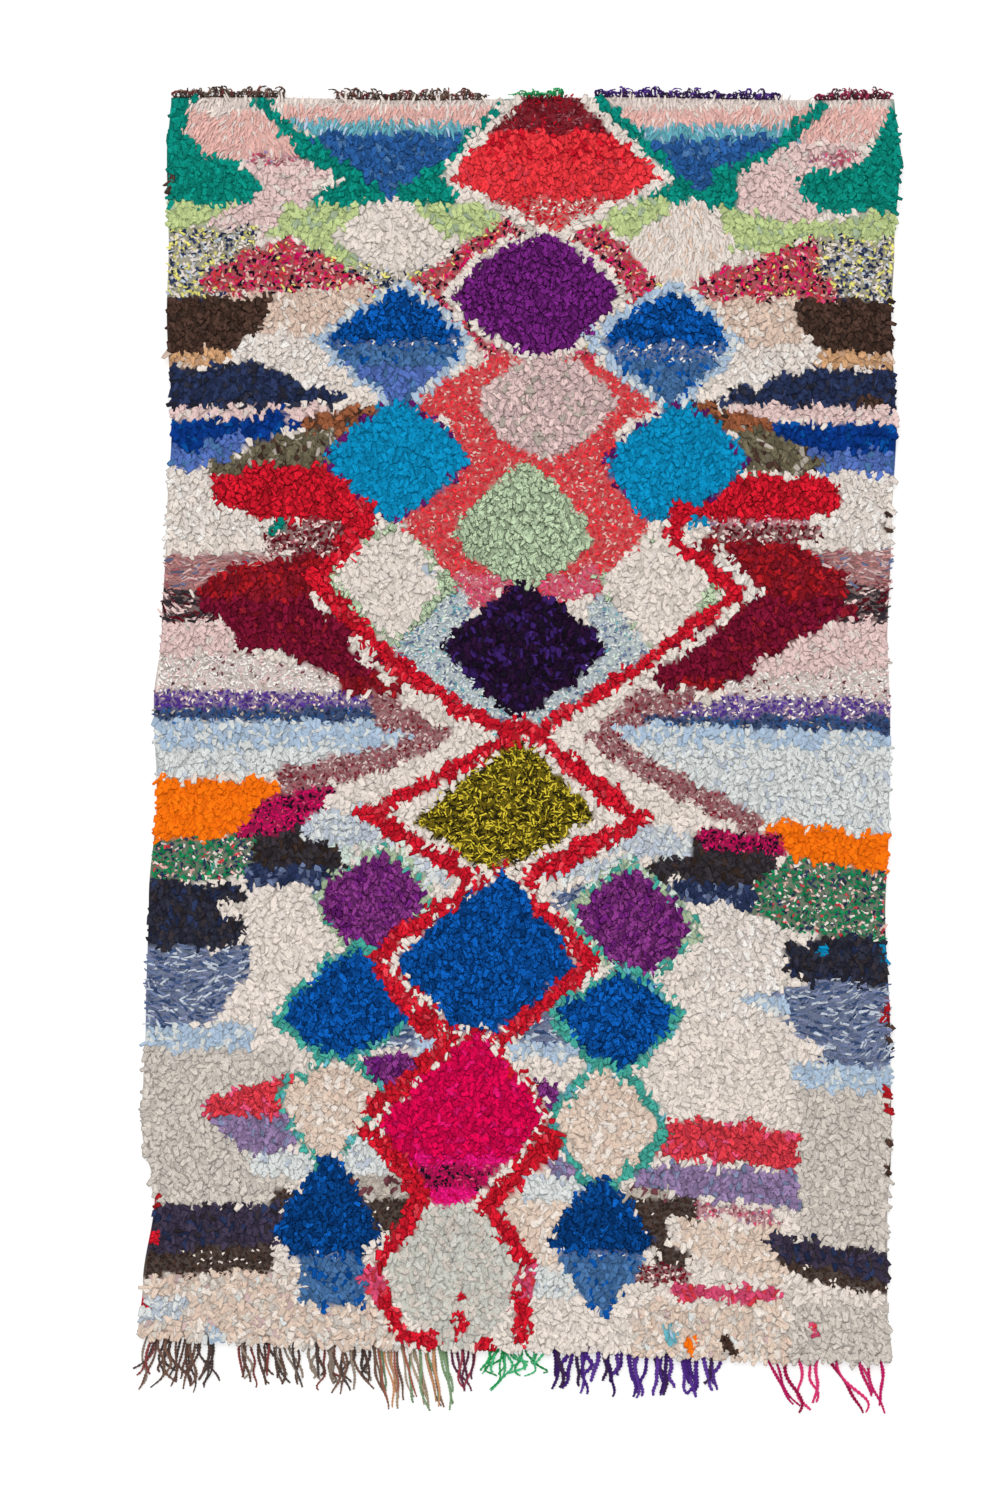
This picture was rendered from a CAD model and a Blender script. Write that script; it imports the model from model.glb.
"""A boucherouite rug seen from straight above: ground cloth, knotted rag pile and loose warp ends.

Metres, +Z up. The pattern is charted in centimetres on the loom. U runs right from a warp thread
near the middle of the rug, and V runs down from its top edge.
"""

import math

import bpy
import numpy as np
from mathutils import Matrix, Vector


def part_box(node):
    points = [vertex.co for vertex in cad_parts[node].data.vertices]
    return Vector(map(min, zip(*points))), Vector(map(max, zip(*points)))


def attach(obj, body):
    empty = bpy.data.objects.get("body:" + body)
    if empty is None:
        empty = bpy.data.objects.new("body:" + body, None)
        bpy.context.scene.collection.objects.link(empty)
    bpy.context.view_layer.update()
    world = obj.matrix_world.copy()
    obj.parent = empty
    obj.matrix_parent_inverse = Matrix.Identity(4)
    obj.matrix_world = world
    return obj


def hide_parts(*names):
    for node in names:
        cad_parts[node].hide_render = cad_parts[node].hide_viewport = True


SEED = 5
CM = 100.0

# The field, as in the CAD part. Each row of SIDES: V in metres, left side's X, right side's X.
FIELD_LENGTH = 2.505
SIDES = np.array(
    (
        (0.000, -0.697, 0.748),
        (0.120, -0.706, 0.760),
        (0.300, -0.702, 0.748),
        (0.440, -0.706, 0.742),
        (0.660, -0.696, 0.752),
        (0.860, -0.706, 0.742),
        (1.080, -0.716, 0.734),
        (1.220, -0.732, 0.740),
        (1.420, -0.726, 0.738),
        (1.620, -0.742, 0.730),
        (1.860, -0.748, 0.740),
        (2.080, -0.756, 0.742),
        (2.220, -0.730, 0.734),
        (2.400, -0.754, 0.734),
        (2.505, -0.764, 0.744),
    )
)
BOTTOM_SLOPE = 0.032
EDGE_WAVE = 0.003
WAVES_PER_METRE = 1.3
HEADING_GAP = 0.0004
CLUMPS_PER_METRE = 28.0  # of the clipped loops at the top edge
HEADING_START = -0.690  # X of the left end of the first clipped group, on the loom

# Dyes, as they look in soft light, in 8-bit sRGB.
DYES = {
    "cream": (230, 219, 210),
    "ivory": (223, 213, 206),
    "white": (236, 231, 226),
    "peach": (219, 198, 182),
    "greige": (201, 193, 185),
    "linen": (206, 197, 188),
    "ash": (198, 198, 190),
    "sand": (216, 191, 175),
    "shell": (216, 203, 197),
    "salmon": (221, 175, 167),
    "pink": (225, 196, 193),
    "blush": (203, 176, 175),
    "clay": (176, 124, 122),
    "rose": (212, 76, 114),
    "tan": (203, 157, 116),
    "chestnut": (150, 90, 60),
    "umber": (72, 52, 44),
    "earth": (58, 44, 38),
    "moss": (108, 101, 80),
    "scarlet": (232, 54, 62),
    "red": (190, 22, 40),
    "coral": (205, 56, 68),
    "oxblood": (124, 22, 36),
    "wine": (112, 16, 44),
    "maroon": (86, 18, 30),
    "brick": (158, 24, 32),
    "crimson": (204, 4, 73),
    "hot_pink": (238, 24, 134),
    "magenta": (205, 16, 96),
    "orange": (255, 119, 14),
    "yellow": (224, 218, 120),
    "lime": (189, 206, 143),
    "mint": (163, 181, 151),
    "frost": (208, 222, 212),
    "teal": (66, 160, 146),
    "aqua": (96, 166, 180),
    "emerald": (8, 134, 120),
    "grass": (22, 128, 82),
    "turquoise": (8, 138, 188),
    "sky": (173, 194, 217),
    "mist": (215, 219, 218),
    "fog": (186, 195, 208),
    "denim": (70, 110, 158),
    "cornflower": (84, 112, 184),
    "lapis": (40, 88, 150),
    "royal": (7, 77, 155),
    "deep_royal": (4, 55, 114),
    "cobalt": (8, 52, 128),
    "steel": (98, 112, 146),
    "slate": (118, 126, 158),
    "petrol": (56, 76, 116),
    "navy": (40, 51, 84),
    "ink": (42, 44, 58),
    "black": (51, 46, 51),
    "plum": (62, 54, 74),
    "purple": (94, 27, 102),
    "grape": (115, 46, 114),
    "violet": (84, 52, 144),
    "indigo": (52, 29, 92),
    "lavender": (142, 120, 160),
    "aubergine": (38, 15, 46),
    "night": (26, 16, 34),
    "gilt": (212, 192, 56),
    "olive": (126, 108, 24),
    "bronze": (36, 30, 10),
    "mauve": (148, 82, 90),
    "dusk": (104, 58, 66),
    "stone": (176, 166, 156),
}

# How each sort of yarn is knotted. Columns: knots apart across and down, width, thickness, rise,
# reach and crumple of one lock, all in mm, then its sides, its lean (90 is down the rug, 0 is to a
# side), its spread and twist in degrees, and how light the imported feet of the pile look.
SORTS = {
    "rag": (8.8, 10.2, 12.5, 2.2, 10.4, 21.0, 1.2, 4, 90.0, 60.0, 16.0, 0.80),
    "ruffle": (9.4, 10.6, 14.0, 2.4, 10.4, 22.0, 1.5, 4, 90.0, 66.0, 16.0, 0.85),
    "wool": (6.6, 9.2, 6.6, 1.8, 10.0, 22.0, 0.6, 3, 90.0, 26.0, 20.0, 0.88),
    "shred": (9.6, 7.4, 6.4, 1.8, 10.4, 21.0, 0.9, 3, 0.0, 34.0, 24.0, 0.80),
    "tuft": (6.2, 7.0, 5.6, 2.0, 10.4, 9.0, 1.0, 3, 90.0, 160.0, 40.0, 0.80),
    "chip": (6.8, 7.4, 7.2, 2.2, 10.6, 11.0, 1.0, 3, 90.0, 160.0, 40.0, 0.70),
    "lurex": (5.2, 6.2, 4.2, 1.8, 10.6, 13.0, 0.5, 3, 90.0, 120.0, 40.0, 0.40),
}

# Yarns: their sort, then dyes with their shares of the knots.
YARNS = {
    "cream": ("ruffle", (("cream", 7), ("ivory", 3), ("linen", 1))),
    "ivory": ("rag", (("ivory", 6), ("white", 2), ("cream", 2))),
    "shell": ("wool", (("shell", 5), ("cream", 2))),
    "peach_cream": ("ruffle", (("peach", 6), ("cream", 3), ("sand", 1))),
    "peach_fleck": (
        "ruffle",
        (("peach", 12), ("cream", 5), ("greige", 5), ("sand", 4), ("mist", 1), ("blush", 1)),
    ),
    "greige": ("ruffle", (("greige", 7), ("linen", 3))),
    "grey_cream": ("ruffle", (("ash", 6), ("linen", 3))),
    "fleck_cream": ("tuft", (("white", 8), ("pink", 4), ("stone", 2), ("dusk", 1))),
    "taupe": ("ruffle", (("stone", 5), ("greige", 2), ("dusk", 1))),
    "beige": ("rag", (("sand", 5), ("cream", 1))),
    "cream_wool": ("wool", (("ivory", 5), ("sand", 1))),
    "salmon": ("wool", (("salmon", 5), ("shell", 1))),
    "pink": ("rag", (("pink", 7), ("shell", 1))),
    "blush": ("rag", (("blush", 5), ("pink", 3), ("stone", 1))),
    "rose": ("rag", (("rose", 5), ("coral", 1))),
    "pink_fleck": ("tuft", (("pink", 4), ("mauve", 2), ("rose", 2), ("lavender", 1))),
    "tan": ("rag", (("tan", 4), ("sand", 1))),
    "chestnut": ("rag", (("chestnut", 4), ("umber", 1))),
    "umber": ("rag", (("umber", 4), ("earth", 1))),
    "brown_fleck": ("tuft", (("earth", 10), ("umber", 5), ("cream", 1))),
    "moss": ("rag", (("moss", 6), ("umber", 1), ("stone", 1))),
    "scarlet": ("rag", (("scarlet", 6), ("red", 2))),
    "scarlet_fleck": ("rag", (("scarlet", 12), ("coral", 2))),
    "scarlet_white": ("tuft", (("red", 6), ("scarlet", 3), ("cream", 3))),
    "oxblood_fleck": ("tuft", (("oxblood", 5), ("maroon", 2), ("red", 1), ("mauve", 2))),
    "red": ("rag", (("red", 6), ("brick", 1))),
    "red_white": ("tuft", (("coral", 7), ("scarlet", 7), ("salmon", 3))),
    "coral": ("rag", (("coral", 8), ("rose", 1))),
    "rose_fleck": ("tuft", (("rose", 5), ("pink", 2), ("coral", 2))),
    "chain": ("rag", (("red", 7), ("coral", 1))),
    "dotted": ("rag", (("cream", 6), ("red", 4))),
    "oxblood_red": ("rag", (("oxblood", 4), ("brick", 3))),
    "brick": ("rag", (("brick", 1),)),
    "wine": ("rag", (("wine", 5), ("oxblood", 1))),
    "wine_fleck": ("chip", (("maroon", 3), ("oxblood", 3), ("pink", 2), ("mauve", 1), ("cream", 1))),
    "crimson": ("rag", (("crimson", 6), ("magenta", 1))),
    "hot_pink": ("tuft", (("hot_pink", 5), ("crimson", 2))),
    "magenta_black": ("tuft", (("magenta", 7), ("night", 5), ("rose", 1))),
    "orange": ("rag", (("orange", 6),)),
    "lime": ("rag", (("lime", 6), ("mint", 1))),
    "mint": ("rag", (("mint", 1),)),
    "mint_white": ("rag", (("frost", 4), ("ivory", 2))),
    "mint_teal": ("rag", (("mint", 5), ("teal", 3), ("frost", 2))),
    "teal": ("rag", (("teal", 6), ("aqua", 1))),
    "aqua": ("wool", (("aqua", 5), ("sky", 1))),
    "emerald": ("rag", (("emerald", 6),)),
    "turquoise": ("rag", (("turquoise", 6),)),
    "turquoise_edge": ("rag", (("turquoise", 3), ("purple", 3))),
    "sky": ("rag", (("sky", 5), ("mist", 2))),
    "mist": ("rag", (("mist", 8), ("fog", 1))),
    "fog": ("rag", (("fog", 4), ("mist", 3))),
    "teal_grey": ("tuft", (("mist", 4), ("frost", 2), ("steel", 2), ("fog", 2), ("aqua", 1))),
    "denim": ("rag", (("denim", 5), ("royal", 1))),
    "cornflower": ("rag", (("cornflower", 5), ("denim", 1))),
    "lapis": ("rag", (("lapis", 5), ("denim", 1))),
    "royal": ("rag", (("royal", 6), ("deep_royal", 2))),
    "deep_royal": ("rag", (("deep_royal", 6), ("royal", 1))),
    "royal_fleck": ("tuft", (("royal", 6), ("white", 2), ("denim", 3))),
    "cobalt": ("rag", (("cobalt", 6), ("royal", 1))),
    "slate": ("shred", (("slate", 4), ("steel", 4), ("fog", 3), ("petrol", 3))),
    "petrol": ("tuft", (("petrol", 4), ("navy", 3), ("lapis", 3), ("stone", 1))),
    "navy": ("rag", (("navy", 5), ("ink", 2))),
    "navy_slate": ("rag", (("navy", 4), ("steel", 1))),
    "ink": ("rag", (("ink", 5), ("navy", 1), ("black", 2))),
    "black": ("rag", (("black", 5), ("earth", 1))),
    "black_white": ("shred", (("black", 4), ("maroon", 2), ("pink", 2))),
    "plum": ("rag", (("plum", 5), ("navy", 1), ("black", 1))),
    "purple": ("rag", (("purple", 5),)),
    "grape": ("rag", (("grape", 5), ("purple", 2))),
    "lavender": ("rag", (("lavender", 5), ("slate", 1))),
    "violet_white": ("tuft", (("violet", 10), ("white", 2), ("pink", 2))),
    "aubergine": ("rag", (("aubergine", 4), ("indigo", 2), ("night", 3))),
    "lurex": ("lurex", (("gilt", 5), ("olive", 3), ("bronze", 5))),
    "mauve": ("tuft", (("mauve", 5), ("oxblood", 2), ("blush", 4), ("dusk", 1))),
    "space_dyed": ("shred", (("clay", 6), ("blush", 2), ("mauve", 1), ("steel", 1))),
    "confetti_yellow": ("chip", (("yellow", 4), ("ivory", 6), ("navy", 6), ("fog", 2))),
    "confetti_red": (
        "chip",
        (("magenta", 4), ("coral", 5), ("rose", 3), ("night", 4), ("salmon", 3), ("yellow", 1)),
    ),
    "confetti_green": (
        "chip",
        (("grass", 12), ("ivory", 3), ("navy", 4), ("salmon", 2), ("coral", 1)),
    ),
}

# How many times deeper than in the pale yarns the creases look in these ones.
CREASING = {
    "mint": 2.8,
    "purple": 3.8,
    "grape": 3.0,
    "royal": 2.9,
    "deep_royal": 2.8,
    "red": 2.6,
    "chain": 2.2,
    "coral": 2.0,
    "scarlet": 1.6,
    "scarlet_fleck": 1.6,
    "crimson": 1.7,
    "wine": 2.0,
    "oxblood_red": 1.7,
    "blush": 1.3,
    "umber": 1.9,
    "aubergine": 1.6,
    "emerald": 1.2,
    "greige": 1.2,
    "teal": 1.4,
    "lavender": 1.3,
    "lapis": 1.3,
    "sky": 0.6,
    "orange": 0.6,
    "lime": 0.8,
}

# Side bands, laid over one another in this order.
# Columns: yarn, then U, top V and bottom V of each station, from left to right.
LEFT_BANDS = (
    ("shell", -67, 0, 4, -4, 0, 3),
    ("salmon", -68, 4, 13, -44, 3, 13),
    ("salmon", -46, 2.6, 6, -6, 2.6, 5.6),
    ("aqua", -45, 5.0, 6, -40, 5.4, 8.2, -18, 5.6, 9.0, -7, 5.6, 7.6),
    ("pink", -55, 13, 18, -36, 13.4, 16.8),
    ("pink", -52, 16, 27.4, -41, 15, 20.6),
    ("pink_fleck", -54, 12, 14, -40, 12, 14),
    ("emerald", -80, 0, 22, -70, 1, 22, -63.4, 12.6, 22, -56, 13.2, 21.6, -51.4, 18.4, 19.6),
    ("emerald", -44, 8, 12, -38, 8, 14.6, -35.6, 9, 17.4),
    ("emerald", -41.6, 20.4, 21.6, -35.6, 17.4, 22),
    ("emerald", -35.6, 12, 22, -26, 14, 22, -12.4, 9, 22),
    (
        "lapis", -41, 7.6, 9, -35, 7.8, 13.6, -29, 7.8, 17.6,
        -26, 7.8, 20.8, -22, 7.8, 16.6, -9.4, 7.6, 8.4,
    ),
    ("lime", -80, 21.6, 27.6, -4, 22, 28.6),
    ("pink", -63, 26, 29.4, -51, 19, 28, -46, 20, 21.6),
    ("confetti_yellow", -80, 26.6, 41, -52, 26, 40.5),
    ("confetti_yellow", -42, 30, 40.5, -17, 34, 40),
    ("confetti_red", -63, 36, 39, -55, 31, 40.5, -46, 27.6, 40.5, -29, 37.6, 40),
    ("lime", -44, 24, 28.6, -38, 24, 31.6, -33, 24, 34.6),
    ("beige", -60, 40, 50, -30, 38, 49),
    ("ivory", -58, 48, 55, -36, 47, 60),
    ("umber", -80, 40.4, 53, -60, 40.6, 51.6, -54, 40.4, 48, -49.4, 40, 41.6),
    ("tan", -80, 52.6, 56, -57.6, 50.6, 53),
    ("navy", -80, 56, 63, -63, 54, 62.6, -51, 53.4, 62, -42, 58, 61.6, -34, 60, 60.8),
    ("pink", -80, 62.4, 65.4, -37, 62, 65.2),
    ("cobalt", -80, 64.8, 70.6, -57, 64.8, 70.6),
    ("cobalt", -57, 65, 70.5, -44, 65, 66),
    ("cornflower", -80, 70.4, 75, -58, 70.4, 74),
    ("chestnut", -44, 64, 69, -27, 61.5, 68),
    ("moss", -54, 69.4, 74, -37, 66.5, 74),
    ("ivory", -80, 74.6, 92, -49, 75, 86),
    ("red", -61, 76, 82, -52, 73.6, 84.6, -32, 74, 85),
    ("red", -36, 80, 86, -29, 82, 90),
    ("wine_fleck", -51, 85.6, 91, -33, 84, 93),
    ("space_dyed", -80, 91.6, 99, -50, 91.5, 98),
    ("black_white", -80, 98.6, 105.6, -61, 98.6, 105),
    ("oxblood_red", -64, 97, 101, -52, 92.6, 101, -38, 91.6, 101),
    (
        "wine", -64, 99.6, 102.6, -60, 100.4, 104, -56, 100.6, 110.6,
        -46, 100.6, 111.6, -38, 100.6, 116, -26, 112, 118,
    ),
    ("oxblood_red", -36, 116, 119, -19, 115, 119.4),
    ("pink", -80, 105.4, 113, -60, 105, 112.6, -57, 108, 112),
    ("fleck_cream", -80, 112.6, 119.6, -56, 111, 119.4, -36, 115.6, 119.4),
    ("violet_white", -80, 118.6, 122.6, -30, 119.4, 122.6),
    ("mauve", -30, 119, 126.6, -18, 120.6, 131, -13, 127.4, 129),
    ("petrol", -80, 122.2, 125.6, -29, 122.2, 125),
    ("sky", -80, 124.8, 130.6, -30, 125, 131),
    ("sky", -30, 125.6, 130.6, -21.6, 128.4, 129.4),
    ("mist", -80, 130.4, 137, -36, 130.6, 134),
    ("orange", -80, 136.6, 149, -57, 136.6, 148, -45, 136.6, 138),
    ("black", -57, 147, 154.6, -39, 145, 154),
    ("magenta_black", -57, 146.6, 148.4, -49, 139, 147.6),
    ("magenta_black", -49, 138.6, 147.6, -37, 137.4, 142),
    ("fog", -43, 145, 151, -34, 139, 151, -24, 143, 152),
    ("confetti_green", -80, 148.6, 157.4, -53, 148, 156),
    ("navy_slate", -55, 154, 158, -33, 153.8, 157.6),
    ("fog", -22, 151.6, 156, -14, 153.6, 158),
    ("mint_white", -40, 149.6, 152.6, -23, 149.6, 152.6),
    ("ink", -80, 156, 170.6, -55, 158, 169.6),
    ("cream", -60, 161, 164.4, -54, 159.6, 164),
    ("slate", -80, 170, 187, -61, 170, 185),
    ("slate", -61, 170, 184, -54, 170, 174),
    ("sky", -80, 186, 191.6, -53, 185.4, 190.6),
    ("greige", -80, 190.8, 222, -46, 190.4, 221),
    ("coral", -63, 201.6, 204, -57, 198, 204),
    ("coral", -57, 197.6, 204, -45, 195.6, 204),
    ("lavender", -61, 203.6, 206, -54, 203.6, 210.6, -45, 204, 211.6),
    ("mist", -54, 211, 214.6, -40, 210.6, 217),
    ("mist", -36.6, 205, 218, -26, 205, 216),
    ("slate", -28, 186, 190.6, -19, 184.6, 190),
    ("sky", -21, 187.6, 191.6, -14, 187, 191),
    ("grape", -31, 191.4, 198, -18, 191.6, 196),
    ("taupe", -34, 215.6, 220, -21, 215, 221),
    ("brown_fleck", -50, 218.6, 222.6, -44, 218.6, 222.6),
    ("brown_fleck", -31.4, 220, 224, -21, 220, 231),
    ("plum", -80, 221.8, 231.6, -48, 221.2, 229),
    ("brown_fleck", -80, 231.6, 236.6, -49, 228.8, 234.6),
    ("peach_fleck", -80, 236, 260, -44, 234.6, 260),
    ("fog", -80, 240, 245.6, -66, 240, 244),
    ("peach_fleck", -67, 242, 260, -24, 241, 260),
    ("denim", -43.6, 231, 241.6, -31, 231, 241.6),
    ("umber", -80, 15, 22, -70, 15, 22),
    ("red", -80, 219.8, 222.4, -72.2, 219.8, 222.4),
    ("red", -80, 226, 229.4, -72.6, 226, 229.4),
    ("red", -80, 240, 242, -74.4, 240, 242),
    ("red_white", -14, 63, 82, 2, 71, 76),
    ("red_white", -22, 80, 84, -12, 74, 90),
)
RIGHT_BANDS = (
    ("shell", 12, 0, 3, 80, 0, 3),
    ("salmon", 16, 2.8, 6.6, 60, 2.8, 6.8),
    ("aqua", 20, 6.4, 9.8, 57, 6, 9.8),
    ("salmon", 56, 7, 9.6, 62, 2.4, 9.4, 74, 2.4, 9),
    ("pink", 47, 10.6, 16, 68, 9, 15),
    ("pink", 40, 15, 20, 48, 13, 25, 60, 13, 27),
    ("pink_fleck", 58, 11.6, 14.6, 68, 10.6, 13),
    ("emerald", 24, 13, 21, 34, 15, 24, 43, 13, 22),
    ("lapis", 24.6, 9, 10, 35.6, 9, 19.6, 53, 8, 9),
    ("lime", 6, 23, 28, 30, 20.6, 28),
    ("lime", 40, 22, 30, 53, 25, 33),
    ("lime", 53, 26, 29, 80, 22.6, 29.6),
    ("emerald", 55.5, 16, 19, 60, 15.4, 23, 68, 13.6, 23.6, 76, 1, 23.6),
    ("emerald", 74, 1, 23.6, 84, 0, 23.6),
    ("confetti_yellow", 58, 28, 42, 80, 28.6, 42.6),
    ("confetti_red", 34, 37, 41.4, 48, 32, 41.2, 59.6, 27.6, 41.4),
    ("confetti_red", 59.6, 36, 41.4, 63.6, 38, 41.4),
    ("beige", 34, 41, 46, 42, 41, 50),
    ("beige", 42, 40.8, 50, 56.4, 40.8, 50),
    ("ivory", 42, 50, 60, 60, 50, 55),
    ("umber", 55, 41.6, 42, 57, 41, 48, 62, 41, 51.8, 80, 41.4, 52),
    ("tan", 59, 50.8, 54, 80, 51.8, 55),
    ("navy", 40, 60, 61.6, 56, 54.8, 62.4, 80, 54.8, 63),
    ("pink", 42, 61.6, 64.4, 80, 62.6, 66),
    ("cobalt", 50, 65.6, 68, 57, 65.6, 74),
    ("cobalt", 57, 65.6, 71, 80, 65.6, 71),
    ("cornflower", 57, 71, 75, 80, 71, 76),
    ("chestnut", 34, 60.6, 65, 50, 65, 69),
    ("moss", 43, 66.4, 74.6, 50, 67, 75.6, 60, 73, 75.8),
    ("ivory", 60, 76, 88, 80, 76, 93),
    ("red", 33, 76, 85, 48, 75.6, 84.6, 63.6, 76.6, 84),
    ("pink_fleck", 38, 84.4, 86, 58, 84.4, 86),
    ("wine_fleck", 38, 85.8, 90, 60, 85.8, 89.4),
    ("space_dyed", 55, 90.6, 99, 80, 91, 99.6),
    ("black_white", 61, 97.4, 105, 80, 98.6, 106.4),
    ("oxblood_red", 36, 88.6, 93, 46, 89.4, 100),
    ("oxblood_red", 46, 89.4, 101.4, 56, 89.4, 101.4),
    ("oxblood_red", 56, 90, 101.4, 65, 95.6, 100.6),
    (
        "wine", 25, 114, 117, 34, 108, 118.6, 43, 101.6, 117.6,
        49, 100.6, 112.8, 58, 100.6, 108.6, 60.6, 100.6, 105.4, 67, 101, 104,
    ),
    ("oxblood_red", 33, 116.6, 119, 44, 116.4, 118.4),
    ("pink", 46, 114, 116, 58, 107.6, 115, 62, 105.4, 114.6, 80, 105, 114),
    ("fleck_cream", 40, 117.4, 120, 46, 115.6, 120.6, 80, 113.6, 121),
    ("violet_white", 31, 120, 124, 80, 120.4, 124.6),
    ("mauve", 13, 124, 128, 24, 118.6, 127, 36, 118.6, 121),
    ("petrol", 25, 123.8, 127.4, 80, 124, 128),
    ("sky", 19, 127, 128.4, 26, 125.4, 129.6, 80, 127.6, 131),
    ("mist", 24, 129, 131, 34, 130, 136),
    ("mist", 34, 129.6, 136, 48, 130, 144, 80, 130, 149),
    ("orange", 48.8, 144.6, 147, 55, 145.4, 152.6, 80, 149, 156.6),
    ("black", 25, 153.6, 155.6, 32, 151, 156),
    ("black", 32, 148.6, 158, 51, 149.6, 158.8),
    ("magenta_black", 35, 146, 150, 52.8, 147.4, 152),
    ("navy_slate", 28, 156.6, 160.4, 50, 158.4, 163),
    ("fog", 18, 146.6, 152, 34, 145, 152.6),
    ("fog", 4, 153.4, 156.8, 20, 152.6, 156.4),
    ("slate", 6.4, 158, 162, 13.2, 158, 163.6),
    ("confetti_green", 46.4, 157, 164, 53, 152, 167, 80, 156, 169.6),
    ("ivory", 36, 160, 185, 52, 166, 185),
    ("ink", 53, 170, 175, 60, 168, 178.6, 80, 168.6, 179.4),
    ("slate", 50, 179, 183, 60, 176.4, 190),
    ("slate", 60, 176.4, 193.4, 80, 178, 195.6),
    ("sky", 44, 179.6, 181, 53, 179.6, 184),
    ("sky", 53, 193, 195.6, 58, 193, 198.4, 80, 195, 200),
    ("slate", 0, 183, 189, 9, 181.4, 189.4),
    ("sky", -2, 189, 192, 11, 189.4, 192.6),
    ("grape", 2, 196.6, 204, 8.6, 197, 202),
    ("greige", 55.6, 198, 230, 80, 199.6, 232.6),
    ("coral", 27, 204.4, 212, 48, 205, 213.4),
    ("coral", 48, 206, 213.4, 55.6, 207.4, 215),
    ("lavender", 22.2, 213, 218, 55.6, 214.8, 222.4),
    ("pink_fleck", 35, 221, 224, 52, 222, 226),
    ("taupe", 21, 218, 221, 30, 218.4, 221.6),
    ("brown_fleck", 22, 220, 223, 35, 220, 225),
    ("brown_fleck", 24, 222, 228, 30, 223.6, 232),
    ("brown_fleck", 27, 229, 234, 34, 230, 234.6),
    ("wine_fleck", 22, 233.4, 236.6, 34, 233.4, 237.6),
    ("peach_cream", 32, 224.6, 230, 53, 226, 238),
    ("plum", 49, 227.4, 229.6, 52, 227.4, 232.6, 66, 230.4, 235.6),
    ("plum", 66, 230.4, 235.8, 80, 231, 240.8),
    ("brown_fleck", 51, 232.2, 233.4, 57, 233, 236.6, 74, 237, 240),
    ("rose", 29.8, 237.4, 240, 51.6, 238, 241),
    ("peach_fleck", 22, 241, 260, 54, 241, 260),
    ("greige", 54, 241.4, 260, 84, 241.4, 260),
    ("peach_cream", -3, 219, 233, 12, 219, 233),
    ("mist", 1, 234.4, 240, 10.4, 234.4, 240),
    ("mist", 0, 215.6, 221, 12.4, 215.6, 221),
    ("lavender", 6, 212, 216, 13, 212, 216),
    ("turquoise", 72, 170.2, 173.4, 80, 170.2, 173.4),
    ("brick", 73, 181, 186, 80, 181, 186),
    ("umber", 73.2, 186, 190, 80, 186, 190),
    ("brick", 73.2, 198, 204, 80, 198, 204),
    ("umber", 73.2, 207.6, 210, 80, 207.6, 210),
    ("umber", 72.6, 213, 216, 80, 213, 216),
    ("red_white", 6, 71, 76, 19, 66, 82),
    ("red_white", 12, 74, 90, 22, 80, 88),
)

# Chains of knots. Columns: yarn, width, then U and V of each point that the chain passes.
CHAINS = (
    ("turquoise", 1.4, 59, 170.6, 60.4, 171.2),
    ("emerald", 2.4, -52, 1, -40, 13),
    ("cobalt", 3.0, -55, 66.2, -48, 64.2),
    ("cornflower", 4.0, -62, 71, -57, 69.4),
    ("moss", 2.6, -62, 75, -52, 72.4),
    ("umber", 1.8, 68, 61.2, 71.6, 61.8),
    ("black", 4.6, -44, 150, -38, 152.4),
    ("emerald", 2.6, 15.6, 1, 20.4, 6, 30, 15),
    ("emerald", 2.8, -2, 1.4, -13, 12.4),
    ("emerald", 4.4, -67.4, 0.4, -70, 8),
    ("emerald", 2.2, 60.4, 2, 50, 11.6),
    ("emerald", 2.8, 50, 11.6, 40, 16),
    ("mauve", 5.4, -18, 130.4, -46, 136.6),
    ("mauve", 5.2, 14, 127.6, 26, 135),
    ("mauve", 4.8, 26, 135, 46, 145),
    ("cream", 5.0, 6.6, 128.4, 33, 145),
    ("cream", 4.4, -3, 126.6, -36, 141),
    ("red_white", 9.0, -20, 82, -8, 96),
    ("red_white", 9.0, 22, 84, 12, 96),
    ("rose_fleck", 7.0, -11, 98, -8, 99),
    ("rose_fleck", 7.0, 8, 98, 13, 97),
    ("teal_grey", 9.0, -14, 103, -22, 110),
    ("teal_grey", 8.0, -22, 110, -2, 125),
    ("teal_grey", 9.0, 18, 104, 22, 110),
    ("teal_grey", 8.0, 22, 110, 3, 124),
)

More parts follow.
